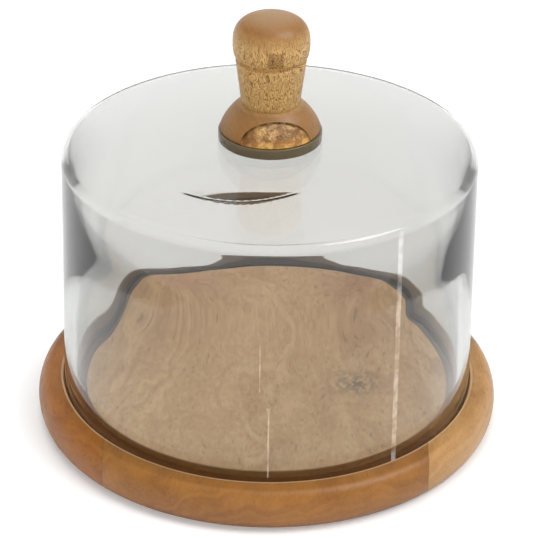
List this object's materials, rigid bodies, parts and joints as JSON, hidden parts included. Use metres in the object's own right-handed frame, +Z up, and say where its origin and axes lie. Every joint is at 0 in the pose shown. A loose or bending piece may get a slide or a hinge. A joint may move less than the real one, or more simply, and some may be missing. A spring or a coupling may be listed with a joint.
{
  "type": "cheese dome",
  "caption": "Round wooden serving board with a routed groove, and a clear straight-sided glass dome with a turned wooden knob that lifts off it.",
  "frame": {"origin": "centre of the flat underside of the wooden board", "axes": "+Z up along the axis of the board, the glass and the knob; +Y along the grain of the board's planks; the knob's scoop faces -Y, a little towards +X"},
  "size_m": [0.255, 0.255, 0.2356],
  "materials": {
    "board_wood": "oiled mango wood, satin",
    "board_wood_pale": "oiled pale mango wood, satin",
    "knob_wood": "turned, oiled mango wood, satin",
    "clear_glass": "clear, fire-polished",
    "smoked_rubber": "smoke-brown silicone rubber, smooth",
    "pale_rubber": "pale silicone rubber, matt",
    "zinc_steel": "zinc-plated steel",
    "brass": "plain turned brass"
  },
  "bodies": {
    "board": {"board_plank_left": "board_wood", "board_plank_centre": "board_wood", "board_plank_right": "board_wood_pale"},
    "dome": {"glass_dome": "clear_glass", "knob_gasket": "smoked_rubber", "turned_knob": "knob_wood", "glass_grommet": "pale_rubber", "steel_washer": "zinc_steel", "knob_screw": "zinc_steel", "threaded_insert": "brass"}
  },
  "joints": [
    {"name": "dome_lift", "type": "slide", "parent": "board", "child": "dome", "axis": [0, 0, 1], "range_m": [0, 0.15]}
  ]
}
